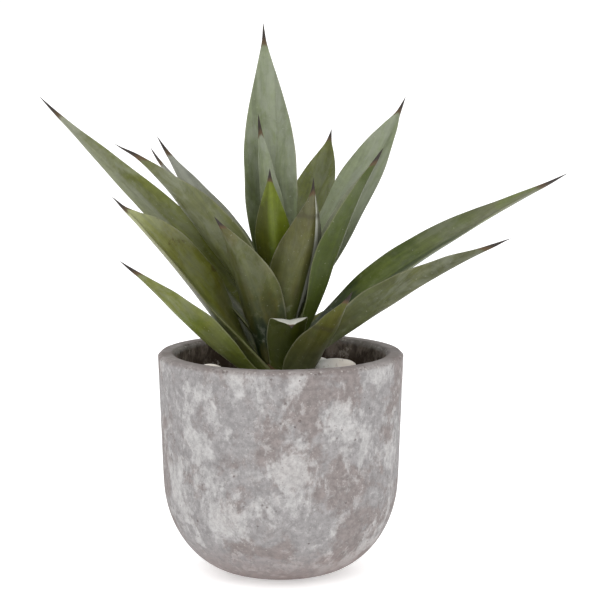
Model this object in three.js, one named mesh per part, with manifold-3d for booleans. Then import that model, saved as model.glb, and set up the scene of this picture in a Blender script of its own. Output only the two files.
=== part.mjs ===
// A potted aloe vera, in millimetres, +Z up, with the origin at the centre of the pot's flat foot.
// A thick cement pot holds soil. A short stem stands in the soil, and the fleshy leaves grow from it in a
// rosette. White pebbles lie on the soil round the stem. Nothing moves: every piece rests on, or grows from,
// another.
//
// A heading is a compass angle seen from above: 0 points along +X, 90 along +Y. A rise is an angle above
// level.

import * as THREE from "three";
import { mergeVertices } from "three/addons/utils/BufferGeometryUtils.js";
import Module from "manifold-3d";

const wasm = await Module();
wasm.setup();

// ---------- driving dimensions ----------

const CLEARANCE = 0.3; // the gap between pieces that touch

const POT = {
  height: 118,
  rimRadius: 65,
  shoulderRadius: 62.6, // where the wall meets the rounded bottom
  shoulderHeight: 52,
  footRadius: 20, // the flat disc it stands on
  wall: 9,
  floor: 10,
  rimRounding: 1.6,
  segments: 48,
};

const SOIL = { top: 93, socketDepth: 6 };

const STEM = { radius: 12, straightTop: 114, tipRadius: 5, top: 162 };

const LEAF = {
  rings: 13, // steps from foot to tip
  crowding: 1.4, // how much closer together the rings are towards the tip: 1 is evenly spaced
  sides: 12, // steps round the section
  footShare: 0.3, // width at the foot, as a share of the full width
  broad: 0.42, // where a leaf is broadest, as a share of its length, where its own entry says nothing else
  blunt: 1.7, // how long a leaf stays broad beyond that, where its own entry says nothing else
  pull: 0.36, // how far the end directions reach, as a share of the distance from foot to tip
  footDepth: 0.62, // where a foot starts, as a share of the stem's radius there
  needleWidth: 2.6, // where the hard point starts
  footFold: 14, // how much the foot is folded
  fold: 24, // how much a leaf is folded further out, where its own entry says nothing else
  valley: 0.25, // how rounded the fold along the middle is: 0 is a crease
  grownBy: 0.45, // the share of the length by which the roll and the fold are whole
};

// Each leaf: the heading and rise of its tip, and where its foot joins the stem.
//   heading  compass angle of the tip        reach   distance of the tip from the stem's axis
//   tip      height of the tip               foot    height of the foot on the stem
//   leave    rise where it leaves the stem   arrive  rise at the tip
//   sweep    how far the foot's heading is turned from the tip's
//   width    greatest width                  broad   where that is, as a share of the length
//   fold     angle that each half is raised  roll    turn about its own length, growing from foot to tip
//   needle   length of the hard point        hook    how far the point curls outwards
//   blunt    how long it stays broad
const LEAVES = {
  leaf_left_low: {
    heading: 208, reach: 93, tip: 172, foot: 103, leave: 28, arrive: 36,
    width: 20, broad: 0.5, roll: 24, needle: 11,
  },
  leaf_right_low: {
    heading: 345, reach: 123, tip: 182, foot: 114, leave: 31, arrive: 22,
    width: 27, roll: -28, needle: 14,
  },
  leaf_front_bent: {
    heading: 277, reach: 46, tip: 137, foot: 104, leave: 77, arrive: -48,
    width: 20, broad: 0.7, blunt: 3, fold: 5, needle: 3,
  },
  leaf_front_short: {
    heading: 306, reach: 62, tip: 157, foot: 100, leave: 42, arrive: 50,
    width: 25, needle: 7,
  },
  leaf_right_long: {
    heading: 17, reach: 165, tip: 209, foot: 119, leave: 37, arrive: 24,
    width: 26, roll: 16, needle: 16,
  },
  leaf_left_broad: {
    heading: 188, reach: 89, tip: 202, foot: 108, leave: 48, arrive: 42,
    width: 32, broad: 0.58, blunt: 2.8, roll: -27, needle: 11,
  },
  leaf_left_long: {
    heading: 146, reach: 164, tip: 249, foot: 121, leave: 45, arrive: 38,
    width: 25, broad: 0.4, roll: -15, needle: 16,
  },
  leaf_left_hooked: {
    heading: 203, reach: 88, tip: 231, foot: 131, leave: 61, arrive: 38,
    width: 29, roll: 28, needle: 12, hook: 4,
  },
  leaf_left_spike: {
    heading: 164, reach: 72, tip: 225, foot: 143, leave: 58, arrive: 58,
    width: 18, needle: 9,
  },
  leaf_left_narrow: {
    heading: 134, reach: 99, tip: 228, foot: 129, leave: 60, arrive: 48,
    width: 22, roll: -10, needle: 12,
  },
  leaf_front_left: {
    heading: 236, reach: 60, tip: 195, foot: 114, leave: 74, arrive: 41, sweep: -9,
    width: 27, roll: 5, needle: 8,
  },
  leaf_front_right: {
    heading: 315, reach: 24, tip: 212, foot: 124, leave: 76, arrive: 92, sweep: -32,
    width: 27, broad: 0.5, roll: -25, needle: 8,
  },
  leaf_right_folded: {
    heading: 346, reach: 55, tip: 227, foot: 123, leave: 58, arrive: 58,
    width: 23, broad: 0.5, fold: 42, roll: 12, needle: 9,
  },
  leaf_right_broad: {
    heading: 32, reach: 80, tip: 251, foot: 133, leave: 56, arrive: 63,
    width: 29, broad: 0.58, blunt: 2.4, roll: 15, needle: 9,
  },
  leaf_right_back: {
    heading: 71, reach: 88, tip: 231, foot: 142, leave: 62, arrive: 62,
    width: 24, broad: 0.58, blunt: 2.2, needle: 7,
  },
  leaf_back_tall: {
    heading: 104, reach: 38, tip: 291, foot: 149, leave: 75, arrive: 82, sweep: 12,
    width: 29, broad: 0.5, needle: 10,
  },
  leaf_centre_spire: {
    heading: 126, reach: 20, tip: 243, foot: 157, leave: 84, arrive: 84,
    width: 15, needle: 9,
  },
  leaf_centre_young: {
    heading: 236, reach: 10, tip: 216, foot: 152, leave: 86, arrive: 92,
    width: 20, roll: 30, needle: 6,
  },
  leaf_rear_low: {
    heading: 92, reach: 88, tip: 176, foot: 106, leave: 34, arrive: 40,
    width: 24, needle: 10,
  },
  leaf_rear_right: {
    heading: 52, reach: 76, tip: 143, foot: 109, leave: 28, arrive: 24,
    width: 22, needle: 9,
  },
  leaf_rear_left: {
    heading: 124, reach: 94, tip: 186, foot: 111, leave: 40, arrive: 40,
    width: 23, needle: 10,
  },
  leaf_rear_high: {
    heading: 86, reach: 66, tip: 212, foot: 122, leave: 50, arrive: 60,
    width: 23, needle: 9,
  },
};

const PEBBLE_RINGS = [
  { name: "outer", count: 11, distance: 42.5, length: 23, breadth: 21, height: 10.4 },
  { name: "inner", count: 6, distance: 22, length: 19, breadth: 14.5, height: 8 },
];

// Pebbles that lie on top of the rings. turn is the heading of the long side.
const TOP_PEBBLES = {
  pebble_top_right: { x: 29, y: 6, bottom: 104.2, length: 25, breadth: 17, height: 9.6, turn: 15 },
  pebble_top_back: { x: 18, y: 22, bottom: 104.2, length: 20, breadth: 14, height: 8, turn: 160 },
  pebble_top_left: { x: -36, y: -27, bottom: 104.2, length: 22, breadth: 17, height: 12.2, turn: 125 },
};

// ---------- small helpers ----------

const radians = THREE.MathUtils.degToRad;
const mix = THREE.MathUtils.lerp;
const smooth = THREE.MathUtils.smoothstep;

// The level unit vector of a heading, raised by a rise.
function direction(heading, rise = 0) {
  const level = Math.cos(radians(rise));
  return new THREE.Vector3(
    Math.cos(radians(heading)) * level,
    Math.sin(radians(heading)) * level,
    Math.sin(radians(rise)),
  );
}

// A closed geometry as a manifold-3d solid.
function solidOf(geometry) {
  const bare = new THREE.BufferGeometry();
  bare.setAttribute("position", geometry.getAttribute("position").clone());
  bare.setIndex(geometry.getIndex());
  const merged = mergeVertices(bare, 1e-3);
  return new wasm.Manifold(
    new wasm.Mesh({
      numProp: 3,
      vertProperties: merged.getAttribute("position").array,
      triVerts: new Uint32Array(merged.getIndex().array),
    }),
  );
}

// A manifold-3d solid as a geometry, with flat-shaded faces.
function geometryOf(solid) {
  const mesh = solid.getMesh();
  const geometry = new THREE.BufferGeometry();
  geometry.setAttribute("position", new THREE.BufferAttribute(mesh.vertProperties, 3));
  geometry.setIndex(new THREE.BufferAttribute(mesh.triVerts, 1));
  geometry.computeVertexNormals();
  return geometry;
}

// A LatheGeometry turns about Y. This one is turned upright, so that its profile's y is the height.
function turned(profile, segments) {
  return new THREE.LatheGeometry(profile, segments).rotateX(Math.PI / 2);
}

function part(name, geometry, material) {
  const mesh = new THREE.Mesh(geometry, material);
  mesh.name = name;
  return mesh;
}

// ---------- materials ----------

const material = (color, roughness) => new THREE.MeshStandardMaterial({ color, roughness, metalness: 0 });
const cement = material(0x9f9a96, 0.95);
const pottingSoil = material(0x33261f, 1.0);
const stemSkin = material(0x7d8552, 0.7);
const leafSkin = material(0x5f7146, 0.55);
const stone = material(0xd8cec4, 0.5);

// ---------- pot and soil ----------

// A bowl's side from its flat foot up: an elliptical curve to the shoulder, then a straight wall.
function bowlSide({ foot, base, shoulder, shoulderHeight, rim, top }) {
  const breadth = shoulder - foot;
  const rise = shoulderHeight - base;
  const curve = new THREE.EllipseCurve(foot, shoulderHeight, breadth, rise, -Math.PI / 2, 0);
  return [...curve.getPoints(9), new THREE.Vector2(rim, top)];
}

// The pot's cavity, drawn in by a clearance.
function cavity(top, inset) {
  const slope = (POT.rimRadius - POT.shoulderRadius) / (POT.height - POT.shoulderHeight);
  const shoulder = POT.shoulderRadius - POT.wall - inset;
  return bowlSide({
    foot: POT.footRadius - POT.wall,
    base: POT.floor + inset,
    shoulder,
    shoulderHeight: POT.shoulderHeight,
    rim: shoulder + slope * (top - POT.shoulderHeight),
    top,
  });
}

function pot() {
  const r = POT.rimRounding;
  const outside = bowlSide({
    foot: POT.footRadius,
    base: 0,
    shoulder: POT.shoulderRadius,
    shoulderHeight: POT.shoulderHeight,
    rim: POT.rimRadius,
    top: POT.height - r,
  });
  const inside = cavity(POT.height - r, 0).reverse();
  const outerEdge = new THREE.Vector2(POT.rimRadius - r, POT.height);
  const innerEdge = new THREE.Vector2(inside[0].x + r, POT.height);
  const profile = [
    new THREE.Vector2(0, 0),
    ...outside,
    outerEdge,
    innerEdge,
    ...inside,
    new THREE.Vector2(0, POT.floor),
  ];
  return part("pot", turned(profile, POT.segments), cement);
}

// The soil fills the cavity up to its top, with a round socket for the stem.
function soil() {
  const socket = STEM.radius + CLEARANCE;
  const profile = [
    new THREE.Vector2(0, POT.floor + CLEARANCE),
    ...cavity(SOIL.top, CLEARANCE),
    new THREE.Vector2(socket, SOIL.top),
    new THREE.Vector2(socket, SOIL.top - SOIL.socketDepth),
    new THREE.Vector2(0, SOIL.top - SOIL.socketDepth),
  ];
  return part("soil", turned(profile, POT.segments), pottingSoil);
}

// ---------- leaves ----------

// The stem's radius at a height.
function stemRadius(height) {
  const share = Math.max(0, (height - STEM.straightTop) / (STEM.top - STEM.straightTop));
  return mix(STEM.radius, STEM.tipRadius, share);
}

// The line along the middle of a leaf, from inside the stem to the tip.
function spineOf({ heading, reach, tip, foot, leave, arrive, sweep = 0 }) {
  const start = direction(heading + sweep).multiplyScalar(stemRadius(foot) * LEAF.footDepth);
  start.z = foot;
  const end = direction(heading).multiplyScalar(reach);
  end.z = tip;
  const pull = start.distanceTo(end) * LEAF.pull;
  const leaving = direction(heading + sweep, leave).multiplyScalar(pull).add(start);
  const arriving = direction(heading, arrive).multiplyScalar(-pull).add(end);
  return new THREE.CubicBezierCurve3(start, leaving, arriving, end);
}

// A leaf's width at a share of its length: narrow at the foot, full where it is broad, then long and pointed.
function widthAt(share, { width, broad = LEAF.broad, blunt = LEAF.blunt, needle }, length) {
  const bladeEnd = 1 - needle / length;
  if (share >= bladeEnd) return LEAF.needleWidth * ((1 - share) / (1 - bladeEnd));
  const along = share / bladeEnd;
  if (along < broad) return width * mix(LEAF.footShare, 1, smooth(along, 0, broad));
  const beyond = (along - broad) / (1 - broad);
  return mix(LEAF.needleWidth, width, (1 - beyond ** blunt) ** 1.15);
}

// Fleshy at the foot and thin towards the tip, where the point is round.
function thicknessAt(share, width, fullWidth) {
  return Math.min(fullWidth * (0.06 + 0.09 * (1 - share) ** 1.2), 0.85 * width);
}

// A leaf is a cone whose every ring is laid across the spine and drawn into a folded crescent.
// grow makes it larger all round, to cut its seat in the stem.
function leafGeometry(leaf, grow = 0) {
  const spine = spineOf(leaf);
  const length = spine.getLength();
  const outward = direction(leaf.heading);
  const across = direction(leaf.heading + 90);
  const soft = LEAF.valley;
  const geometry = new THREE.ConeGeometry(1, 1, LEAF.sides, LEAF.rings);
  const position = geometry.getAttribute("position");
  const point = new THREE.Vector3();
  for (let i = 0; i < position.count; i++) {
    point.fromBufferAttribute(position, i);
    const step = point.y + 0.5;
    const share = 1 - (1 - step) ** LEAF.crowding;
    const ring = Math.max(1 - step, 1e-9);
    const u = point.x / ring; // -1 and 1 are the two margins
    const v = -point.z / ring; // above 0 is the upper face
    const width = widthAt(share, leaf, length) + 2 * grow;
    const thick = thicknessAt(share, width, leaf.width) + 2 * grow;
    const tangent = spine.getTangent(share);
    const side = across.clone().addScaledVector(tangent, -across.dot(tangent)).normalize();
    const grown = smooth(share, 0, LEAF.grownBy);
    side.applyAxisAngle(tangent, radians(leaf.roll ?? 0) * grown);
    const up = tangent.clone().cross(side);
    const lift = Math.tan(radians(mix(LEAF.footFold, leaf.fold ?? LEAF.fold, grown)));
    const gutter = ((Math.sqrt(u * u + soft * soft) - soft) / (Math.sqrt(1 + soft * soft) - soft)) * lift;
    const flesh = Math.sign(v) * Math.abs(v) ** 1.4 * thick * (v > 0 ? 0.25 : 0.75);
    point.copy(spine.getPoint(share)).addScaledVector(tangent, step === 0 ? -grow : 0);
    point.addScaledVector(outward, (leaf.hook ?? 0) * smooth(share, 1 - leaf.needle / length, 1));
    point.addScaledVector(side, (u * width) / 2);
    point.addScaledVector(up, (gutter * width) / 2 + flesh);
    position.setXYZ(i, point.x, point.y, point.z);
  }
  return geometry;
}

const leaves = () => Object.entries(LEAVES).map(([name, leaf]) => part(name, leafGeometry(leaf), leafSkin));

// ---------- stem ----------

// The stem, with a seat cut in it for each leaf's foot.
function stem() {
  const profile = [
    new THREE.Vector2(0, SOIL.top - SOIL.socketDepth + CLEARANCE),
    new THREE.Vector2(STEM.radius, SOIL.top - SOIL.socketDepth + CLEARANCE),
    new THREE.Vector2(STEM.radius, STEM.straightTop),
    new THREE.Vector2(STEM.tipRadius, STEM.top),
    new THREE.Vector2(0, STEM.top),
  ];
  const seats = Object.values(LEAVES).map((leaf) => solidOf(leafGeometry(leaf, CLEARANCE)));
  const cut = seats.reduce((body, seat) => body.subtract(seat), solidOf(turned(profile, 24)));
  const pieces = cut.decompose().sort((a, b) => b.volume() - a.volume());
  return part("stem", geometryOf(pieces[0]), stemSkin);
}

// ---------- pebbles ----------

// A pebble is a flattened ball, with its underside at a given height.
function pebble(name, { x, y, bottom, length, breadth, height, turn }) {
  const geometry = new THREE.IcosahedronGeometry(0.5, 1).scale(length, breadth, height);
  const mesh = part(name, geometry, stone);
  mesh.position.set(x, y, bottom + height / 2);
  mesh.rotation.z = radians(turn);
  return mesh;
}

// Pebbles laid side by side in a ring on the soil, each a little smaller or larger than the last.
function ringOfPebbles({ name, count, distance, length, breadth, height }) {
  return Array.from({ length: count }, (_, i) => {
    const heading = (360 / count) * i;
    const share = 0.94 + 0.06 * Math.cos(2.4 * i);
    const place = direction(heading).multiplyScalar(distance);
    return pebble(`pebble_${name}_${i + 1}`, {
      x: place.x,
      y: place.y,
      bottom: SOIL.top + CLEARANCE,
      length: length * share,
      breadth: breadth * share,
      height: height * share,
      turn: heading + 90,
    });
  });
}

const pebbles = () => [
  ...PEBBLE_RINGS.flatMap(ringOfPebbles),
  ...Object.entries(TOP_PEBBLES).map(([name, size]) => pebble(name, size)),
];

// ---------- the whole plant ----------

const plant = new THREE.Group();
plant.add(pot(), soil(), stem(), ...leaves(), ...pebbles());

export default plant;
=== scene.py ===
# %% [markdown]
# # A potted aloe vera
#
# The real object is a small succulent in a cast cement pot. Fleshy, pointed leaves grow in a rosette from
# a short stem, the stem stands in soil, and smooth white pebbles cover the soil. This lesson takes the
# plain solids of the CAD model and gives each of them the shape and the finish of the real thing.
#
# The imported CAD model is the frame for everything: each piece is drawn over the solid it stands for, so
# sizes and places are measured from that solid and never set a second time.

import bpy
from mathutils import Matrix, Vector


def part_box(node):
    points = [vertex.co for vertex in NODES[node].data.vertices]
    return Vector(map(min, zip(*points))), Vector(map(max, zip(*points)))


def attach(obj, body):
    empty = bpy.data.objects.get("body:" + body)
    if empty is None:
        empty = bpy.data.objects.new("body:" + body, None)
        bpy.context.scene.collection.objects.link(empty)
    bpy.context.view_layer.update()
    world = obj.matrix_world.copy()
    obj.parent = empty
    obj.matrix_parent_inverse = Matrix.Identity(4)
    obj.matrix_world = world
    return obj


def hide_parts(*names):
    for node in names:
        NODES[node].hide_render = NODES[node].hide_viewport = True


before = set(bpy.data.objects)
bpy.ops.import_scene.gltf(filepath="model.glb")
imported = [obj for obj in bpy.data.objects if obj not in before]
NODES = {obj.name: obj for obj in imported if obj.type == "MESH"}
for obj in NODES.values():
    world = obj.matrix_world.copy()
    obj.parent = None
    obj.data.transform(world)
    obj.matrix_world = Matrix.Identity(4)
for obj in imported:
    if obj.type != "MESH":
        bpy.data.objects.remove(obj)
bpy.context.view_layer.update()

# %% Imports and units
import math

import bmesh
import bpy
from mathutils import Vector, noise

MM = 0.001
pot_low, pot_high = (Vector(corner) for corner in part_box("pot"))
RIM_RADIUS = pot_high.x
RIM_HEIGHT = pot_high.z
print("pot:", round(RIM_RADIUS / MM, 1), "mm in radius,", round(RIM_HEIGHT / MM, 1), "mm high")

# %% [markdown]
# ## Tools for every piece
#
# Four small helpers serve the whole script. `smooth` is the soft step that shader writers use, for anything
# that should fade in. `through` draws a smooth curve through a row of points (a Catmull-Rom curve): a
# coarse CAD shape gives the points, and the curve gives as many steps between them as the close-up view
# needs. `merged_copy` is where each piece starts, and `finish_piece` is where it ends: it turns the mesh
# into an object that takes the place of its CAD solid.

# %% Helpers
def smooth(value, low, high):
    share = min(1.0, max(0.0, (value - low) / (high - low)))
    return share * share * (3 - 2 * share)


def through(points, place, closed=False):
    """The point at a place along a row of points: 0 is the first, 1 the next, and 0.5 halfway between."""
    count = len(points)
    index = math.floor(place)
    rest = place - index

    def pick(i):
        return points[i % count] if closed else points[min(count - 1, max(0, i))]

    a, b, c, d = (pick(index + step) for step in (-1, 0, 1, 2))
    return 0.5 * (
        2 * b + (c - a) * rest + (2 * a - 5 * b + 4 * c - d) * rest**2 + (3 * b - a - 3 * c + d) * rest**3
    )


def merged_copy(node_name):
    """A CAD node's mesh is loose triangles, so a copy of it is merged before it is used."""
    bm = bmesh.new()
    bm.from_mesh(NODES[node_name].data)
    bmesh.ops.remove_doubles(bm, verts=bm.verts, dist=1e-6)
    return bm


def finish_piece(name, bm, material, slot, *replaced):
    bmesh.ops.recalc_face_normals(bm, faces=bm.faces)
    for face in bm.faces:
        face.smooth = True
    mesh = bpy.data.meshes.new(name)
    bm.to_mesh(mesh)
    bm.free()
    piece = bpy.data.objects.new(name, mesh)
    bpy.context.scene.collection.objects.link(piece)
    mesh.materials.append(material)
    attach(piece, "root")
    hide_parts(*replaced)
    return piece


# %% [markdown]
# ## Tools for materials
#
# A material is a small network of shader nodes. Writing one out node by node is long, so `add` makes a
# node, sets its choices, and fills its inputs: a plain value is typed in, and another node's output is
# linked. The other helpers are the handful of nodes that every material needs. Effects that several
# finishes share are node groups with named inputs and outputs, built once.

# %% Node helpers
def add(tree, kind, inputs=None, **choices):
    node = tree.nodes.new("ShaderNode" + kind)
    for key, value in choices.items():
        setattr(node, key, value)
    for key, value in (inputs or {}).items():
        socket = node.inputs[key]
        if isinstance(value, bpy.types.NodeSocket):
            tree.links.new(value, socket)
        else:
            socket.default_value = value
    return node


def arithmetic(tree, operation, a, b=0.0, clamp=False):
    return add(tree, "Math", {0: a, 1: b}, operation=operation, use_clamp=clamp).outputs[0]


def plus(tree, a, b):
    return arithmetic(tree, "ADD", a, b)


def minus(tree, a, b):
    return arithmetic(tree, "SUBTRACT", a, b)


def times(tree, a, b):
    return arithmetic(tree, "MULTIPLY", a, b)


def apart(tree, a, b):
    """How far apart two values are."""
    return arithmetic(tree, "ABSOLUTE", minus(tree, a, b))


def fade(tree, value, low, high, start=0.0, end=1.0):
    """A soft step from start to end while value goes from low to high."""
    inputs = {"Value": value, "From Min": low, "From Max": high, "To Min": start, "To Max": end}
    return add(tree, "MapRange", inputs, interpolation_type="SMOOTHSTEP").outputs["Result"]


def blend(tree, share, first, second):
    """A mix of two colours: at a share of 0 all of the first, at 1 all of the second."""
    node = add(tree, "Mix", data_type="RGBA", blend_type="MIX", clamp_factor=True)
    for index, value in ((0, share), (6, first), (7, second)):
        if isinstance(value, bpy.types.NodeSocket):
            tree.links.new(value, node.inputs[index])
        else:
            node.inputs[index].default_value = value
    return node.outputs[2]


def cloud(tree, place, scale, detail=3.0, roughness=0.5, distortion=0.0):
    inputs = {
        "Vector": place,
        "Scale": scale,
        "Detail": detail,
        "Roughness": roughness,
        "Distortion": distortion,
    }
    return add(tree, "TexNoise", inputs).outputs["Fac"]


def stretched(tree, place, x, y, z):
    return add(tree, "VectorMath", {0: place, 1: (x, y, z)}, operation="MULTIPLY").outputs["Vector"]


def moved(tree, place, x, y, z):
    return add(tree, "VectorMath", {0: place, 1: (x, y, z)}, operation="ADD").outputs["Vector"]


def scaled(tree, vector, amount):
    return add(tree, "VectorMath", {0: vector, "Scale": amount}, operation="SCALE").outputs["Vector"]


def new_group(name, inputs, outputs):
    """An empty node group. inputs and outputs map a socket's name to its kind and its starting value."""
    tree = bpy.data.node_groups.new(name, "ShaderNodeTree")
    for direction, sockets in (("INPUT", inputs), ("OUTPUT", outputs)):
        for socket_name, (kind, value) in sockets.items():
            kind = "NodeSocket" + kind
            socket = tree.interface.new_socket(socket_name, in_out=direction, socket_type=kind)
            if value is not None:
                socket.default_value = value
    return tree, tree.nodes.new("NodeGroupInput").outputs, tree.nodes.new("NodeGroupOutput").inputs


def new_material(name, group, values, bump_distance, bump_strength=1.0, **shader_values):
    """A material whose colour, roughness and relief come from a group, the rest from the shader itself."""
    material = bpy.data.materials.new(name)
    material.use_nodes = True
    tree = material.node_tree
    shader = tree.nodes["Principled BSDF"]
    look = add(tree, "Group", node_tree=group)
    for key, value in values.items():
        look.inputs[key].default_value = value
    relief = {"Strength": bump_strength, "Distance": bump_distance, "Height": look.outputs["Height"]}
    bump = add(tree, "Bump", relief)
    tree.links.new(look.outputs["Base Color"], shader.inputs["Base Color"])
    tree.links.new(look.outputs["Roughness"], shader.inputs["Roughness"])
    tree.links.new(bump.outputs["Normal"], shader.inputs["Normal"])
    for key, value in shader_values.items():
        shader.inputs[key.replace("_", " ")].default_value = value
    return material


STUDIO_LIGHT = 1.22  # how brightly the studio lights a surface that faces the camera: 1 shows its own colour


def colour(red, green, blue, sheen=0.0):
    """A colour as it should look in the studio, from 0 to 255, as the linear colour that a shader needs.
    sheen is the white light that a glossy surface adds to its own colour."""
    light = [(value / 255) ** 2.2 / STUDIO_LIGHT - sheen for value in (red, green, blue)]
    return tuple(max(0.004, value) for value in light) + (1.0,)


LOOK_OUTPUTS = {"Base Color": ("Color", None), "Roughness": ("Float", None), "Height": ("Float", None)}

# %% [markdown]
# ## The camera
#
# The picture is taken from in front and a little above, from over a metre away with a long lens, so the
# pot looks nearly as it does in a drawing. The camera is set up first, because every later choice is
# judged through it.

# %% Camera
scene = bpy.context.scene
camera = bpy.data.objects.new("camera", bpy.data.cameras.new("camera"))
scene.collection.objects.link(camera)
camera.location = (0, -1.1846, 0.3099)
aim = Vector((0.0102, 0, 0.1455))
gaze = aim - camera.location
camera.rotation_euler = gaze.to_track_quat("-Z", "Y").to_euler()
camera.data.sensor_width = 36
camera.data.lens = 135.85
camera.data.dof.use_dof = False
scene.camera = camera
scene.view_settings.view_transform = "Standard"
print("camera looks down by", round(math.degrees(math.asin(-gaze.z / gaze.length)), 1), "degrees")

# %% [markdown]
# ## Reading a leaf from the CAD model
#
# A CAD leaf is a cone that was bent along a curve: rings of points run from the foot to the tip, and each
# ring is a thin folded crescent. Seen as a net, the tip is one point that all of the last ring's edges
# meet in. Walking outwards from it, step by step, finds the rings again, one after another. Each ring is
# then turned so that its points 0 and 6 are the right and the left margin, as the camera sees them, and
# point 3 is the middle of the upper face. From there on, any place on the leaf can be named by how far
# along it is and how far round.

# %% Rings of a CAD leaf
AROUND = 12


def ordered(ring, previous):
    """The points of a ring in order round it, starting at the one nearest the previous ring's first."""
    members = set(ring)
    walk = [ring[0]]
    while len(walk) < len(ring):
        nearby = [edge.other_vert(walk[-1]) for edge in walk[-1].link_edges]
        walk.append(next(vert for vert in nearby if vert in members and vert not in walk))
    places = [vert.co.copy() for vert in walk]
    if previous is None:
        return places
    turns = []
    for row in (places, places[::-1]):
        turns += [row[start:] + row[:start] for start in range(AROUND)]
    return min(turns, key=lambda row: sum((a - b).length_squared for a, b in zip(row, previous)))


def cad_rings(node_name):
    """The rings from the foot to the tip, with margins at 0 and 6 and the middle of the upper face at 3."""
    bm = merged_copy(node_name)
    poles = [vert for vert in bm.verts if len(vert.link_edges) == AROUND]
    tip = max(poles, key=lambda vert: vert.co.z)
    seen = {tip}
    front = [tip]
    rings = [[tip.co.copy()] * AROUND]
    while True:
        front = [v for v in {e.other_vert(f) for f in front for e in f.link_edges} if v not in seen]
        if len(front) < AROUND:
            break
        seen.update(front)
        rings.append(ordered(front, rings[-1] if len(rings) > 1 else None))
    bm.free()
    widest = max(rings[1:], key=lambda ring: max((ring[i] - ring[i + 6]).length for i in range(6)))
    margin = max(range(6), key=lambda i: (widest[i] - widest[i + 6]).length)
    rings = [ring[margin:] + ring[:margin] for ring in rings]
    widest = widest[margin:] + widest[:margin]
    raised = (widest[0] + widest[6]) - (widest[3] + widest[9])
    if (widest[3] - widest[9]).dot(raised) < 0:
        rings = [[ring[-i % AROUND] for i in range(AROUND)] for ring in rings]
    if widest[0].x < widest[6].x:
        rings = [[ring[(6 - i) % AROUND] for i in range(AROUND)] for ring in rings]
    return rings[::-1]


LEAF_NODES = sorted(name for name in NODES if name.startswith("leaf_"))
LEAF_RINGS = {name: cad_rings(name) for name in LEAF_NODES}
print(len(LEAF_NODES), "leaves of", {len(rings) for rings in LEAF_RINGS.values()}, "rings")

# %% [markdown]
# ## Drawing the leaves
#
# A real leaf could be made by sculpting, or by a subdivision surface over the CAD rings. Here it is drawn
# out like clay: a circle at the foot is extruded again and again, and each new loop is laid on a section
# of the leaf. That gives even faces, a sharp point, and full control of each section, so small habits of
# real leaves can be added on the way: a foot that stays wide to wrap the stem, a shallow channel along
# the middle, margins that wander a little, and a surface that is never quite flat. In CAD the feet are
# narrow, so that solids keep clear of each other. Real feet lie over one another, and here they may.
#
# Each point also remembers where it is on the leaf, in attributes that the leaf's material reads: how far
# along, how far across, which face, and how far into the hard brown point.

# %% Leaf sections
STEPS_ALONG = 84
STEPS_AROUND = 32
FOOT_SHARE = 0.62  # how wide the foot is, as a share of the full width
CHANNEL = 0.45 * MM  # how deep the channel along the middle is
CHANNEL_REACH = 0.22  # how wide the channel is, as a share of half the leaf's width
WAVES = 7  # how often a margin wanders up and down on its way to the tip
LUMP_SCALE = 55  # how small the lumps of the surface are
WANDER = 0.88 * MM  # how far waves and lumps lift the surface
SMALL = 6 * MM  # where half the width is less than this, channel, waves and lumps die away
NEEDLE_WIDTH = 3.0 * MM  # the hard point starts where the leaf is this narrow
NEEDLE_VALUE = 1.35  # the point attribute at the very tip; it is 0.35 where the hard point starts
LOOK_EVERY = 0.05  # how finely the start of the hard point is looked for, in rings
UNDERSIDE_APART = 0.3  # the underside takes its grain from this far away, so that it isn't the upper face's
LEAVES_APART = 0.17  # and each leaf from this far from the one before


def foot_stretch(rings, share):
    """How much wider than in CAD a leaf is drawn: below its broadest place it narrows less."""
    widths = [(ring[0] - ring[6]).length for ring in rings]
    full = max(widths)
    broadest = widths.index(full) / (len(rings) - 1)
    if share >= broadest:
        return 1.0
    wanted = full * (FOOT_SHARE + (1 - FOOT_SHARE) * smooth(share, 0, broadest * 0.7))
    return max(1.0, wanted / through(widths, share * (len(rings) - 1)))


def leaf_section(rings, share, seed):
    """The points round a leaf at a share of the way from foot to tip."""
    place = share * (len(rings) - 1)
    ring = [through([r[i] for r in rings], place) for i in range(AROUND)]
    centre = sum(ring, Vector()) / AROUND
    side = (ring[0] - ring[6]) / 2
    width = side.length
    if width < 1e-7:
        return [centre] * STEPS_AROUND
    side_way = side / width
    up = (ring[3] - ring[9]).normalized()
    stretch = foot_stretch(rings, share)
    size = min(1.0, width / SMALL)
    points = []
    for step in range(STEPS_AROUND):
        angle = step / STEPS_AROUND * AROUND
        point = through(ring, angle, closed=True)
        across = (point - centre).dot(side_way) / width
        raised = (point - centre).dot(up)
        point = point + (side_way * across * width + up * raised * 0.5) * (stretch - 1)
        on_top = math.sin(angle / AROUND * math.tau)
        groove = CHANNEL * math.exp(-((across / CHANNEL_REACH) ** 2)) * max(0.0, on_top)
        wave = noise.noise(Vector((share * WAVES, across * 0.8, seed))) * across**2
        lump = noise.noise(point * LUMP_SCALE + Vector((0, 0, seed))) * 0.35 * (1 - abs(across))
        points.append(point + up * ((wave + lump) * WANDER - groove) * size)
    return points


# %% Draw one leaf
def loop_edges(ring):
    """The edges between neighbours in a closed row of vertices."""
    pairs = zip(ring, ring[1:] + ring[:1])
    return [next(edge for edge in a.link_edges if edge.other_vert(a) is b) for a, b in pairs]


def next_loop(bm, ring):
    """Extrudes a loop of vertices, and gives the new ones in the same order."""
    made = set(bmesh.ops.extrude_edge_only(bm, edges=loop_edges(ring))["geom"])
    return [next(e.other_vert(v) for e in v.link_edges if e.other_vert(v) in made) for v in ring]


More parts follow.
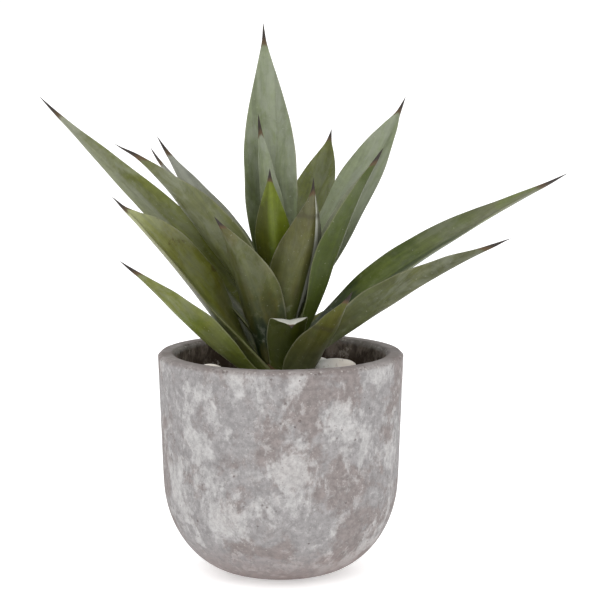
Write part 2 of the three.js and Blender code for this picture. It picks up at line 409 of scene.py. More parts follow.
def draw_leaf(name, seed):
    rings = LEAF_RINGS[name]
    middles = [sum(ring, Vector()) / AROUND for ring in rings]
    widths = [(ring[0] - ring[6]).length for ring in rings]
    sections = []
    for step in range(STEPS_ALONG):
        share = step / STEPS_ALONG
        sections.append((share, leaf_section(rings, share, seed)))
    tip = middles[-1]
    broad = widths.index(max(widths))
    steps = range(round(broad / LOOK_EVERY), round((len(rings) - 1) / LOOK_EVERY))
    hard = min(
        (through(middles, step * LOOK_EVERY) - tip).length
        for step in steps
        if through(widths, step * LOOK_EVERY) > NEEDLE_WIDTH
    )
    bm = bmesh.new()
    float_layers = bm.verts.layers.float
    along, across, upper, point = (float_layers.new(key) for key in ("along", "across", "upper", "point"))
    grain = bm.verts.layers.float_vector.new("grain")
    ring = bmesh.ops.create_circle(bm, cap_ends=True, segments=STEPS_AROUND, radius=1)["verts"]
    travelled = 0.0
    before = None
    for step, (share, places) in enumerate(sections):
        if step:
            ring = next_loop(bm, ring)
        middle = sum(places, Vector()) / STEPS_AROUND
        travelled += (middle - before).length if before else 0.0
        before = middle
        half_width = (places[0] - places[STEPS_AROUND // 2]).length / 2
        for i, (vert, place) in enumerate(zip(ring, places)):
            turn = math.tau * i / STEPS_AROUND
            vert.co = place
            vert[along] = share
            vert[across] = math.cos(turn)
            vert[upper] = 0.5 + 0.5 * max(-1.0, min(1.0, 8 * math.sin(turn)))
            vert[point] = max(0.0, NEEDLE_VALUE - (middle - tip).length / hard)
            underside = UNDERSIDE_APART if math.sin(turn) < -0.01 else 0.0
            vert[grain] = (math.cos(turn) * half_width + underside, travelled, seed * LEAVES_APART)
    end = next_loop(bm, ring)
    for vert in end:
        vert[along] = 1.0
        vert[point] = NEEDLE_VALUE
        vert[grain] = (0, travelled, seed * LEAVES_APART)
    bmesh.ops.pointmerge(bm, verts=end, merge_co=tip)
    return bm


# %% [markdown]
# ## The skin of the leaves
#
# Leaf skin is built up in layers, as it is on the plant. Under everything is the green, which changes
# from the foot to the tip and on most leaves is darker at the foot, partly as painted shade where the feet
# crowd together. On a folded leaf one half is painted darker, as the shade on the half that faces away
# from the light. Fine fibres run lengthwise. A pale waxy bloom lies over the green in thin patches and is
# mostly worn off near the foot. Some leaves turn yellow or olive in broad patches, or carry brown marks
# where they were bruised. The margins are a thin pale line, and the point goes from brown to almost black.
#
# All of this is one node group, built by a short function for each layer. Each finish gives the group other
# colours and amounts.

# %% Where a point lies on its leaf, and the noises that run with the grain
def leaf_fields(tree):
    fields = {}
    for key in ("along", "across", "upper", "point"):
        fields[key] = add(tree, "Attribute", attribute_name=key).outputs["Fac"]
    grain = add(tree, "Attribute", attribute_name="grain").outputs["Vector"]
    fields["grain"] = grain
    fields["off_middle"] = arithmetic(tree, "ABSOLUTE", fields["across"])
    fields["fibres"] = cloud(tree, stretched(tree, grain, 1500, 22, 10), 1.0, 3)
    fields["streaks"] = cloud(tree, stretched(tree, grain, 260, 12, 10), 1.0, 4, 0.6)
    fields["broad"] = cloud(tree, stretched(tree, grain, 70, 32, 10), 1.0, 4, 0.6)
    fields["wisps"] = cloud(tree, stretched(tree, grain, 130, 42, 10), 1.0, 6, 0.68, 0.5)
    fields["dabs"] = cloud(tree, grain, 210.0, 4, 0.65)
    fields["dots"] = cloud(tree, grain, 700.0, 2)
    return fields


# %% The green, from foot to tip, with painted shade on one half of a folded leaf
def leaf_green(tree, given, field):
    # On most leaves the foot colour is darker than the blade, partly as painted shade where the feet crowd
    # together.
    shifted = plus(tree, field["along"], fade(tree, field["broad"], 0.3, 0.7, -0.12, 0.12))
    green = blend(tree, fade(tree, shifted, 0.02, 0.42), given["Foot Colour"], given["Blade Colour"])
    towards_tip = minus(tree, shifted, given["Tip From"])
    green = blend(tree, fade(tree, towards_tip, 0.0, 0.42), green, given["Tip Colour"])

    # Painted shade: on a folded leaf, the half that faces away from the light is painted in a darker green;
    # Side says which half, and Side Reach how far towards the tip.
    in_shaded_half = times(tree, field["across"], given["Side"])
    in_shaded_half = plus(tree, in_shaded_half, fade(tree, field["streaks"], 0.3, 0.7, -0.06, 0.06))
    past_reach = minus(tree, shifted, given["Side Reach"])
    in_shaded_half = times(tree, fade(tree, in_shaded_half, 0.02, 0.2), fade(tree, past_reach, 0.12, -0.1))
    green = blend(tree, in_shaded_half, green, given["Side Colour"])

    patch = times(tree, fade(tree, field["broad"], 0.47, 0.6), given["Patches"])
    green = blend(tree, patch, green, given["Patch Colour"])
    tone = fade(tree, field["streaks"], 0.3, 0.7, 0.82, 1.17)
    tone = times(tree, tone, fade(tree, field["dabs"], 0.3, 0.7, 0.88, 1.11))
    tone = times(tree, tone, fade(tree, field["fibres"], 0.3, 0.7, 0.94, 1.05))
    return scaled(tree, green, tone)


# %% Bloom, dust and bruises
def leaf_bloom(tree, given, field):
    """How much bloom lies on the skin: most of it is worn off near the foot."""
    worn = fade(tree, field["along"], 0.05, 0.62, 0.15, 1.0)
    return times(tree, times(tree, fade(tree, field["wisps"], 0.4, 0.62), worn), given["Bloom"])


def leaf_marks(tree, given, field, skin):
    scuffed = times(tree, fade(tree, field["dots"], 0.68, 0.74), 0.3)
    skin = blend(tree, scuffed, skin, colour(170, 172, 154))
    low_down = fade(tree, field["along"], 0.35, 0.08, 0.0, 0.3)
    dusty = times(tree, fade(tree, field["dabs"], 0.56, 0.66), low_down)
    skin = blend(tree, dusty, skin, colour(146, 148, 134))
    marks = fade(tree, cloud(tree, field["grain"], 95.0, 5, 0.65), 0.58, 0.66)
    return blend(tree, times(tree, marks, given["Bruises"]), skin, colour(66, 52, 28))


# %% Margins, the folded edge and the crease
def leaf_edges(tree, given, field, skin):
    across, wisps = field["across"], field["wisps"]
    edge = times(tree, fade(tree, field["off_middle"], 0.94, 0.99), fade(tree, wisps, 0.4, 0.6, 0.05, 0.4))
    skin = blend(tree, edge, skin, colour(160, 158, 132))
    turned_over = times(tree, fade(tree, across, 0.42, 0.5), given["Folded Edge"])
    skin = blend(tree, times(tree, turned_over, 0.8), skin, colour(136, 138, 122))
    fold_line = times(tree, turned_over, fade(tree, across, 0.72, 0.62))
    skin = blend(tree, fold_line, skin, colour(188, 190, 178))
    wavy = plus(tree, field["along"], fade(tree, wisps, 0.3, 0.7, -0.012, 0.012))
    off_crease = apart(tree, wavy, given["Crease At"])
    return blend(tree, fade(tree, off_crease, 0.004, 0.03, 0.55, 0.0), skin, colour(62, 58, 36))


# %% The hard point
def leaf_point(tree, field, skin):
    """Brown, then almost black, with an uneven start that reaches further down at the margins."""
    ragged = minus(tree, times(tree, field["streaks"], 0.5), 0.25)
    ragged = plus(tree, ragged, field["point"])
    ragged = plus(tree, ragged, fade(tree, field["off_middle"], 0.5, 1.0, 0.0, 0.12))
    skin = blend(tree, fade(tree, ragged, 0.2, 0.42), skin, colour(84, 66, 42))
    return blend(tree, fade(tree, ragged, 0.4, 0.75), skin, colour(46, 38, 32))


# %% The whole skin
def build_leaf_skin():
    inputs = {
        "Tip Colour": ("Color", colour(126, 127, 106)),
        "Blade Colour": ("Color", colour(110, 113, 86)),
        "Foot Colour": ("Color", colour(90, 92, 68)),
        "Side Colour": ("Color", colour(90, 92, 68)),
        "Patch Colour": ("Color", colour(110, 118, 50)),
        "Bloom Colour": ("Color", colour(150, 154, 142)),
        "Side": ("Float", 0.0),
        "Side Reach": ("Float", 0.6),
        "Tip From": ("Float", 0.5),
        "Patches": ("Float", 0.5),
        "Bloom": ("Float", 0.4),
        "Bruises": ("Float", 0.0),
        "Folded Edge": ("Float", 0.0),
        "Crease At": ("Float", -1.0),
        "Pale Upper Face": ("Float", 0.0),
        "Roughness": ("Float", 0.5),
    }
    tree, given, result = new_group("leaf_skin", inputs, LOOK_OUTPUTS)
    field = leaf_fields(tree)
    bloom = leaf_bloom(tree, given, field)
    skin = blend(tree, bloom, leaf_green(tree, given, field), given["Bloom Colour"])
    skin = blend(tree, times(tree, field["upper"], given["Pale Upper Face"]), skin, colour(186, 186, 178))
    skin = leaf_marks(tree, given, field, skin)
    skin = leaf_edges(tree, given, field, skin)
    skin = leaf_point(tree, field, skin)

    rough = plus(tree, given["Roughness"], times(tree, bloom, 0.2))
    rough = plus(tree, rough, fade(tree, field["streaks"], 0.3, 0.7, -0.06, 0.06))
    relief = times(tree, field["fibres"], 0.5)
    relief = plus(tree, relief, times(tree, field["streaks"], 0.9))
    relief = plus(tree, relief, times(tree, field["dabs"], 0.6))
    tree.links.new(skin, result["Base Color"])
    tree.links.new(rough, result["Roughness"])
    tree.links.new(relief, result["Height"])
    return tree


LEAF_SKIN = build_leaf_skin()

# %% [markdown]
# The leaves differ in age and in how much light they had, so they don't share one green. Old outer leaves
# are olive and grey, and the innermost one is a fresh yellow-green. On a folded leaf one half is painted
# darker, as the shade on the half that faces away from the light. Side is above 0 where the right half is
# painted in shade, and below 0 where the left half is. Side Reach and Tip From are places along the leaf,
# from 0 at the foot to 1 at the tip: how far the painted shade goes, and where the tip colour starts.
# Folded Edge paints one edge as turned over, so that its pale underside shows, and Crease At draws the
# brown line where a leaf was once bent.

# %% Leaf finishes
LEAF_SHEEN = 0.02  # the white light that a leaf's gloss adds


def leaf_finish(name, tip, blade, foot, shaded_half_colour=(90, 92, 68), patch=(104, 112, 58), **amounts):
    values = {
        "Tip Colour": colour(*tip, LEAF_SHEEN),
        "Blade Colour": colour(*blade, LEAF_SHEEN),
        "Foot Colour": colour(*foot, LEAF_SHEEN),
        "Side Colour": colour(*shaded_half_colour, LEAF_SHEEN),
        "Patch Colour": colour(*patch, LEAF_SHEEN),
    }
    values.update({key.replace("_", " ").title(): value for key, value in amounts.items()})
    return new_material("leaf_" + name, LEAF_SKIN, values, 0.25 * MM, 0.6, Specular_IOR_Level=0.35)


PALE_GREEN = leaf_finish(
    "pale_green",
    tip=(132, 139, 116),
    blade=(124, 132, 106),
    foot=(86, 96, 54),
    patch=(112, 122, 84),
    patches=0.4,
    bloom=0.45,
)
# Painted shade: the darker green on the right half stands for the shade of the fold.
HALF_SHADED = leaf_finish(
    "half_shaded",
    tip=(158, 160, 142),
    blade=(134, 138, 110),
    foot=(88, 94, 56),
    shaded_half_colour=(100, 105, 44),
    patch=(116, 122, 76),
    side=1.0,
    patches=0.3,
    bloom=0.3,
)
YELLOW_GREEN = leaf_finish(
    "yellow_green",
    tip=(158, 162, 112),
    blade=(116, 119, 62),
    foot=(108, 116, 66),
    patch=(92, 86, 36),
    patches=0.4,
    bruises=0.6,
    bloom=0.3,
    tip_from=0.42,
)
LOW_YELLOW = leaf_finish(
    "low_yellow",
    tip=(108, 111, 60),
    blade=(108, 113, 58),
    foot=(98, 107, 56),
    patch=(96, 108, 44),
    patches=0.5,
    bloom=0.25,
)
GREY_TAUPE = leaf_finish(
    "grey_taupe",
    tip=(112, 114, 88),
    blade=(100, 103, 74),
    foot=(84, 89, 54),
    patch=(92, 96, 54),
    patches=0.5,
    bloom=0.3,
)
LOW_TAUPE = leaf_finish(
    "low_taupe",
    tip=(88, 88, 64),
    blade=(82, 85, 57),
    foot=(100, 106, 74),
    patch=(96, 98, 60),
    patches=0.6,
    bloom=0.3,
)
LAVENDER = leaf_finish(
    "lavender_grey",
    tip=(146, 146, 139),
    blade=(128, 130, 116),
    foot=(84, 90, 54),
    patches=0.2,
    bloom=0.35,
)
DULL_GREEN = leaf_finish(
    "dull_green",
    tip=(98, 98, 70),
    blade=(94, 97, 64),
    foot=(54, 62, 31),
    patch=(90, 86, 54),
    patches=0.6,
    bloom=0.2,
)
WHITE_EDGED = leaf_finish(
    "white_edged",
    tip=(90, 88, 64),
    blade=(89, 89, 58),
    foot=(78, 84, 48),
    patch=(80, 76, 52),
    patches=0.6,
    bloom=0.1,
    folded_edge=0.9,
    crease_at=0.66,
)
# Painted shade: the darker green on the left half stands for the shade of the fold.
YOUNG = leaf_finish(
    "young",
    tip=(118, 128, 42),
    blade=(108, 120, 44),
    foot=(80, 90, 34),
    shaded_half_colour=(88, 92, 48),
    patch=(112, 122, 34),
    side=-0.6,
    patches=0.5,
    bloom=0.05,
)
OLIVE = leaf_finish(
    "olive",
    tip=(98, 102, 62),
    blade=(92, 98, 54),
    foot=(74, 82, 42),
    patch=(106, 112, 54),
    patches=0.5,
    bloom=0.2,
)
# Painted shade: the darker green on the right half stands for the shade of the fold.
BRIGHT = leaf_finish(
    "bright",
    tip=(106, 108, 84),
    blade=(90, 102, 48),
    foot=(62, 72, 34),
    shaded_half_colour=(70, 80, 38),
    patch=(100, 114, 44),
    side=1.0,
    side_reach=0.45,
    tip_from=0.2,
    patches=0.4,
    bloom=0.2,
)
# Painted shade: the darker green on the left half stands for the shade of the fold.
FOLDED = leaf_finish(
    "folded",
    tip=(140, 142, 124),
    blade=(132, 136, 114),
    foot=(78, 86, 46),
    shaded_half_colour=(80, 90, 48),
    side=-1.8,
    side_reach=1.2,
    patches=0.1,
    bloom=0.1,
)
DARK_OLIVE = leaf_finish(
    "dark_olive",
    tip=(98, 96, 52),
    blade=(84, 84, 46),
    foot=(92, 98, 68),
    patch=(80, 86, 44),
    patches=0.6,
    bloom=0.1,
    crease_at=0.52,
)
# Painted shade: this leaf bends forward, and its dark green stands for the shade on its underside. Its upper
# face, seen only at the bent end, is pale.
SHADED_BENT = leaf_finish(
    "bent",
    tip=(84, 90, 52),
    blade=(84, 90, 50),
    foot=(80, 88, 50),
    patch=(82, 88, 50),
    patches=0.5,
    bloom=0.1,
    pale_upper_face=0.9,
)

LEAF_FINISHES = {
    "leaf_back_tall": PALE_GREEN,
    "leaf_right_broad": PALE_GREEN,
    "leaf_centre_spire": PALE_GREEN,
    "leaf_left_long": HALF_SHADED,
    "leaf_left_broad": YELLOW_GREEN,
    "leaf_left_low": LOW_YELLOW,
    "leaf_left_hooked": GREY_TAUPE,
    "leaf_right_low": LOW_TAUPE,
    "leaf_left_narrow": LAVENDER,
    "leaf_left_spike": LAVENDER,
    "leaf_front_left": DULL_GREEN,
    "leaf_front_right": WHITE_EDGED,
    "leaf_centre_young": YOUNG,
    "leaf_right_back": OLIVE,
    "leaf_right_long": BRIGHT,
    "leaf_right_folded": FOLDED,
    "leaf_front_short": DARK_OLIVE,
    "leaf_front_bent": SHADED_BENT,
    "leaf_rear_high": PALE_GREEN,
    "leaf_rear_left": OLIVE,
    "leaf_rear_low": BRIGHT,
    "leaf_rear_right": YELLOW_GREEN,
}

for number, name in enumerate(LEAF_NODES):
    leaf = draw_leaf(name, number + 1)
    finish_piece(name.replace("leaf", "aloe_leaf"), leaf, LEAF_FINISHES[name], "leaf_skin", name)
print("drew", len(LEAF_NODES), "leaves with", STEPS_ALONG * STEPS_AROUND, "faces each")

# %% [markdown]
# ## The pot
#
# The pot is cast cement. Its shape is turned, so it can be drawn as half an outline and spun round the
# upright axis. The outline is read back from the CAD mesh, cut into short steps and relaxed a little,
# which takes the flats out of the curved bottom. Casting and handling leave the rim crumbly: its two
# edges are chipped, while the wall stays smooth. Chips are only ever cut into the cement, so that the pot
# keeps its size.

# %% Outlines of turned solids
def cad_outline(node_name):
    """Half the outline of a turned CAD solid, from the axis below, round the outside, to the axis again."""
    bm = merged_copy(node_name)
    flat = {v: Vector((-v.co.y, v.co.z)) for v in bm.verts if abs(v.co.x) < 1e-6 and v.co.y < 1e-6}
    walk = [min((v for v in flat if flat[v].x < 1e-6), key=lambda v: flat[v].y)]
    while True:
        nearby = [edge.other_vert(walk[-1]) for edge in walk[-1].link_edges]
        onward = [vert for vert in nearby if vert in flat and vert not in walk]
        if not onward:
            break
        walk.append(max(onward, key=lambda v: flat[v].x) if len(walk) == 1 else onward[0])
    outline = [flat[vert] for vert in walk]
    bm.free()
    return outline


def relaxed(outline, longest_step, passes=0, below=0.0):
    """The same outline in short steps, with the corners below a height eased."""
    points = []
    for start, end in zip(outline, outline[1:]):
        steps = max(3, math.ceil((end - start).length / longest_step))
        points += [start.lerp(end, step / steps) for step in range(steps)]
    points.append(outline[-1])
    for _ in range(passes):
        triples = zip(points, points[1:], points[2:])
        eased = [(a + 2 * b + c) / 4 if b.y < below else b for a, b, c in triples]
        points = [points[0], *eased, points[-1]]
    return points


def spun(points, steps):
    """Turns an outline into a closed solid round the upright axis."""
    bm = bmesh.new()
    verts = [bm.verts.new((0, -point.x, point.y)) for point in points]
    for start, end in zip(verts, verts[1:]):
        bm.edges.new((start, end))
    bmesh.ops.spin(
        bm,
        geom=bm.verts[:] + bm.edges[:],
        cent=(0, 0, 0),
        axis=(0, 0, 1),
        angle=math.tau,
        steps=steps,
        use_merge=True,
    )
    bmesh.ops.remove_doubles(bm, verts=bm.verts, dist=1e-6)
    return bm


# %% Cast the pot
POT_STEPS = 300
CHIP_REACH = 1.1 * MM  # how far from the edge a chip goes
CHIP_DEPTH = 0.8 * MM
CHIP_GRAIN = 260  # how small the chips are

pot_outline = cad_outline("pot")
RIM_INSIDE = min(p.x for p in pot_outline if p.y > RIM_HEIGHT - 3 * MM)
print("pot wall:", round((RIM_RADIUS - RIM_INSIDE) / MM, 1), "mm at the rim")
pot = spun(relaxed(pot_outline, 1.4 * MM, passes=8, below=0.6 * RIM_HEIGHT), POT_STEPS)
for vert in pot.verts:
    radius = math.hypot(vert.co.x, vert.co.y)
    if vert.co.z < RIM_HEIGHT - 6 * MM or radius < RIM_INSIDE - 1 * MM:
        continue
    for edge_radius, weight in ((RIM_RADIUS, 1.0), (RIM_INSIDE, 0.8)):
        off_edge = math.hypot(radius - edge_radius, vert.co.z - RIM_HEIGHT)
        near = math.exp(-((off_edge / CHIP_REACH) ** 2)) * weight
        rough = noise.fractal(vert.co * CHIP_GRAIN, 0.7, 2.1, 4) - 0.05
        into_wall = Vector((-vert.co.x, -vert.co.y, 0)).normalized()
        if edge_radius == RIM_INSIDE:
            into_wall.negate()
        vert.co += (into_wall * 0.7 + Vector((0, 0, -0.8))) * near * CHIP_DEPTH * max(0.0, rough)
print("pot:", len(pot.faces), "faces")

# %% [markdown]
# ## Cement
#
# Old cast cement is never one grey. Where it dried unevenly there are brownish patches with ragged edges,
# and lime has bloomed in paler ones. Air bubbles left small pits, and grains of sand show as pale specks.
# The inside is painted dark, darkest deep down and lighter towards the rim, as the shade inside the pot,
# with lighter blotches and pale scuffs. The rim is a little darker than the wall, and its two edges are
# crumbly, with loose grains and small holes.
#
# Patches are also needed on the pebbles, and specks on the pebbles and the soil, so they are node groups.

# %% Patches and specks
def build_ragged_patches():
    inputs = {
        "Place": ("Vector", None),
        "Scale": ("Float", 40.0),
        "Level": ("Float", 0.5),
        "Softness": ("Float", 0.06),
    }
    tree, given, result = new_group("ragged_patches", inputs, {"Mask": ("Float", None)})
    field = cloud(tree, given["Place"], given["Scale"], detail=10, roughness=0.66, distortion=0.3)
    above = minus(tree, field, given["Level"])
    tree.links.new(arithmetic(tree, "DIVIDE", above, given["Softness"], clamp=True), result["Mask"])
    return tree


def build_specks():
    inputs = {
        "Place": ("Vector", None),
        "Scale": ("Float", 400.0),
        "Share": ("Float", 0.3),
        "Size": ("Float", 0.4),
    }
    tree, given, result = new_group("specks", inputs, {"Mask": ("Float", None)})
    very_fine = {"Vector": given["Place"], "Scale": 1500.0, "Detail": 2.0}
    ragged = add(tree, "TexNoise", very_fine).outputs["Color"]
    shift = moved(tree, ragged, -0.5, -0.5, -0.5)
    shift = scaled(tree, shift, 0.0008)
    place = add(tree, "VectorMath", {0: given["Place"], 1: shift}, operation="ADD").outputs["Vector"]
    cells = add(tree, "TexVoronoi", {"Vector": place, "Scale": given["Scale"]})
    luck = add(tree, "SeparateColor", {"Color": cells.outputs["Color"]}).outputs["Red"]
    missed = minus(tree, 1.0, given["Share"])
    grown = arithmetic(tree, "DIVIDE", minus(tree, luck, missed), given["Share"], clamp=True)
    radius = times(tree, grown, given["Size"])
    inside = minus(tree, radius, cells.outputs["Distance"])
    tree.links.new(arithmetic(tree, "MULTIPLY", inside, 9.0, clamp=True), result["Mask"])
    return tree


RAGGED_PATCHES = build_ragged_patches()
SPECKS = build_specks()


def patches(tree, place, scale, level, softness=0.06):
    inputs = {"Place": place, "Scale": scale, "Level": level, "Softness": softness}
    return add(tree, "Group", inputs, node_tree=RAGGED_PATCHES).outputs["Mask"]


def specks(tree, place, scale, share, size):
    inputs = {"Place": place, "Scale": scale, "Share": share, "Size": size}
    return add(tree, "Group", inputs, node_tree=SPECKS).outputs["Mask"]


# %% The wall: damp patches, lime, sand and pits
def cement_wall(tree, given, place, mottle):
    """The colour of the bare wall, and the masks that its relief needs."""
    damp = patches(tree, moved(tree, place, 0.31, 0.2, 0.1), 27.0, 0.505, 0.06)
    damp_small = patches(tree, moved(tree, place, 0.7, 0.1, 0.4), 95.0, 0.54, 0.1)
    tall = stretched(tree, moved(tree, place, 0.05, 0.6, 0.2), 1.15, 1.15, 0.8)
    lime = patches(tree, tall, 38.0, 0.52, 0.06)
    lime_small = patches(tree, moved(tree, place, 0.4, 0.4, 0.9), 130.0, 0.55, 0.06)
    skin = blend(tree, times(tree, damp, 0.72), given["Cement"], given["Damp Patches"])
    skin = blend(tree, times(tree, damp_small, 0.4), skin, given["Damp Patches"])
    skin = blend(tree, times(tree, lime, 0.66), skin, given["Lime"])
    skin = blend(tree, times(tree, lime_small, 0.4), skin, given["Lime"])
    skin = scaled(tree, skin, fade(tree, mottle, 0.32, 0.68, 0.78, 1.2))

    sand = specks(tree, moved(tree, place, 0.5, 0.5, 0.5), 800.0, 0.3, 0.4)
    pits = specks(tree, place, 420.0, 0.07, 0.34)
    fine_pits = specks(tree, moved(tree, place, 0.2, 0.9, 0.3), 1100.0, 0.3, 0.42)
    skin = blend(tree, times(tree, sand, 0.25), skin, colour(210, 206, 200))
    skin = blend(tree, times(tree, fine_pits, 0.4), skin, colour(124, 114, 110))
    skin = blend(tree, times(tree, pits, 0.6), skin, colour(104, 92, 88))
    return skin, lime, pits, fine_pits


# %% The crumbly edges of the rim
def cement_crumbs(tree, place, radius, at_edge):
    """Where loose grains and small holes are: on the rim, in clumps, and only near its two edges."""
    wall = RIM_RADIUS - RIM_INSIDE
    off_middle = apart(tree, radius, RIM_RADIUS - wall / 2)
    crumbs = times(tree, at_edge, fade(tree, off_middle, wall * 0.3, wall * 0.46))
    clumps = fade(tree, cloud(tree, place, 110.0, 4, 0.6), 0.42, 0.58, 0.3, 1.0)
    crumbs = times(tree, crumbs, clumps)
    grains = specks(tree, moved(tree, place, 0.8, 0.3, 0.3), 640.0, 0.75, 0.7)
    holes = specks(tree, moved(tree, place, 0.4, 0.3, 0.8), 560.0, 0.6, 0.62)
    return times(tree, times(tree, crumbs, grains), 0.8), times(tree, times(tree, crumbs, holes), 0.75)


# %% The inside, painted dark as the shade in the pot
def cement_inside(tree, given, place, height, skin, above_soil):
    # Painted shade: the inside is dark, darkest deep down and lighter towards the rim, as the shade inside
    # the pot; lighter blotches and pale scuffs lie over it.
    splashes = cloud(tree, stretched(tree, place, 90, 90, 60), 1.0, 8, 0.72, 0.4)
    dried = fade(tree, height, RIM_HEIGHT - 20 * MM, RIM_HEIGHT - 2 * MM, -0.06, 0.1)
    dry = fade(tree, plus(tree, splashes, dried), 0.46, 0.7)
    painted_inside_shade = blend(tree, dry, given["Shaded Inside"], colour(146, 134, 126))
    scuffs = cloud(tree, moved(tree, place, 0.6, 0.1, 0.2), 150.0, 6, 0.75)
    painted_inside_shade = blend(tree, fade(tree, scuffs, 0.58, 0.66, 0.0, 0.7), painted_inside_shade, colour(196, 188, 180))
    return blend(tree, above_soil, skin, painted_inside_shade)


# %% The whole of the cement
def build_cement():
    inputs = {
        "Cement": ("Color", colour(149, 146, 146)),
        "Damp Patches": ("Color", colour(131, 121, 118)),
        "Lime": ("Color", colour(191, 189, 188)),
        # The dark inside colour is painted shade inside the pot.
        "Shaded Inside": ("Color", colour(70, 58, 49)),
    }
    tree, given, result = new_group("cement", inputs, LOOK_OUTPUTS)
    place = add(tree, "TexCoord").outputs["Object"]
    height = add(tree, "SeparateXYZ", {"Vector": place}).outputs["Z"]
    flat = stretched(tree, place, 1, 1, 0)
    radius = add(tree, "VectorMath", {0: flat}, operation="LENGTH").outputs["Value"]
    mottle = cloud(tree, place, 300.0, 6, 0.75)

    skin, lime, pits, fine_pits = cement_wall(tree, given, place, mottle)
    # Painted shade: the wall turns darker and browner towards the bottom, near the floor.
    low_down = minus(tree, height, times(tree, mottle, 0.03))
    skin = blend(tree, fade(tree, low_down, -0.014, 0.012, 0.5, 0.0), skin, colour(134, 112, 106))

    up_high = plus(tree, height, times(tree, mottle, 3 * MM))
    at_edge = fade(tree, up_high, RIM_HEIGHT - 1.6 * MM, RIM_HEIGHT + 0.9 * MM)
    skin = blend(tree, times(tree, at_edge, 0.6), skin, given["Damp Patches"])
    grainy, holed = cement_crumbs(tree, place, radius, at_edge)
    skin = blend(tree, grainy, skin, colour(206, 202, 196))
    skin = blend(tree, holed, skin, colour(92, 80, 76))

    inside = fade(tree, radius, RIM_INSIDE + 1.2 * MM, RIM_INSIDE + 0.3 * MM)
    inside = times(tree, inside, fade(tree, height, 0.07, 0.08))
    inside = times(tree, inside, fade(tree, up_high, RIM_HEIGHT + 0.4 * MM, RIM_HEIGHT - 2.2 * MM))
    skin = cement_inside(tree, given, place, height, skin, inside)

    rough = plus(tree, fade(tree, mottle, 0.3, 0.7, 0.78, 0.94), times(tree, lime, 0.05))
    relief = times(tree, mottle, 0.35)
    relief = minus(tree, relief, times(tree, pits, 0.9))
    relief = minus(tree, relief, times(tree, fine_pits, 0.35))
    relief = plus(tree, relief, times(tree, lime, 0.12))
    relief = plus(tree, relief, grainy)
    relief = minus(tree, relief, times(tree, holed, 1.6))
    tree.links.new(skin, result["Base Color"])
    tree.links.new(rough, result["Roughness"])
    tree.links.new(relief, result["Height"])
    return tree


CEMENT = new_material("weathered_cement", build_cement(), {}, 0.5 * MM, 0.8, Specular_IOR_Level=0.3)
finish_piece("cement_pot", pot, CEMENT, "cement", "pot")

# %% [markdown]
# ## Soil
#
# Little of the soil shows between the pebbles, but what shows must look loose. The plug of soil is spun
# like the pot, in fine steps on top, and its top is then pitted with noise. A dark crumbly material does
# the rest.

# %% Fill the soil
SOIL_STEPS = 180
CRUMB_SCALE = 240  # how small the crumbs are
CRUMB_DEPTH = 1.4 * MM
soil_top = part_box("soil")[1][2]
soil = spun(relaxed(cad_outline("soil"), 1.3 * MM), SOIL_STEPS)
for vert in soil.verts:
    if vert.co.z > soil_top - 0.5 * MM:
        dip = 0.5 + 0.5 * noise.fractal(vert.co * CRUMB_SCALE, 0.6, 2.2, 4)
        vert.co.z -= CRUMB_DEPTH * max(0.0, dip)
print("soil:", len(soil.faces), "faces, top at", round(soil_top / MM, 1), "mm")


def build_soil():
    inputs = {"Dark": ("Color", colour(52, 40, 30)), "Dry": ("Color", colour(104, 84, 62))}
    tree, given, result = new_group("potting_soil", inputs, LOOK_OUTPUTS)
    place = add(tree, "TexCoord").outputs["Object"]
    crumbs = cloud(tree, place, 420.0, 6, 0.75)
    skin = blend(tree, fade(tree, crumbs, 0.4, 0.66), given["Dark"], given["Dry"])
    skin = blend(tree, specks(tree, place, 260.0, 0.2, 0.35), skin, colour(186, 176, 158))
    tree.links.new(skin, result["Base Color"])
    tree.links.new(fade(tree, crumbs, 0.3, 0.7, 0.85, 0.98), result["Roughness"])
    tree.links.new(crumbs, result["Height"])
    return tree


SOIL = new_material("potting_soil", build_soil(), {}, 1.5 * MM, 1.0, Specular_IOR_Level=0.2)
finish_piece("soil_fill", soil, SOIL, "potting_soil", "soil")

# %% [markdown]
# ## Stem
#
# The stem is short and almost hidden by the feet of the leaves. Where older leaves were, they left narrow
# scars that run round it like rings, so the spun outline is pinched in at even heights, and noise makes
# the rings wander.

# %% Spin the stem
STEM_STEPS = 96
SCAR_SPACING = 4.2 * MM
SCAR_DEPTH = 0.5 * MM
STEM_SHOULDER = 114 * MM  # where the stem starts to taper
STEM_TIP_RADIUS = 5 * MM
stem_low, stem_high = (Vector(corner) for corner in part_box("stem"))
stem_outline = [
    Vector((0, stem_low.z)),
    Vector((stem_high.x, stem_low.z)),
    Vector((stem_high.x, STEM_SHOULDER)),
    Vector((STEM_TIP_RADIUS, stem_high.z)),
    Vector((0, stem_high.z)),
]
stem = spun(relaxed(stem_outline, 0.7 * MM), STEM_STEPS)
for vert in stem.verts:
    radius = math.hypot(vert.co.x, vert.co.y)
    if radius < 1e-6 or vert.co.z < soil_top + 1 * MM:
        continue
    wander = noise.noise(vert.co * 60) * 0.35
    ring = math.cos(math.tau * (vert.co.z / SCAR_SPACING + wander))
    pinch = SCAR_DEPTH * smooth(ring, 0.2, 1.0) + 0.3 * MM * abs(noise.noise(vert.co * 200))
    vert.co.x *= 1 - pinch / radius
    vert.co.y *= 1 - pinch / radius
print("stem:", len(stem.faces), "faces,", round((stem_high.z - stem_low.z) / MM), "mm tall")


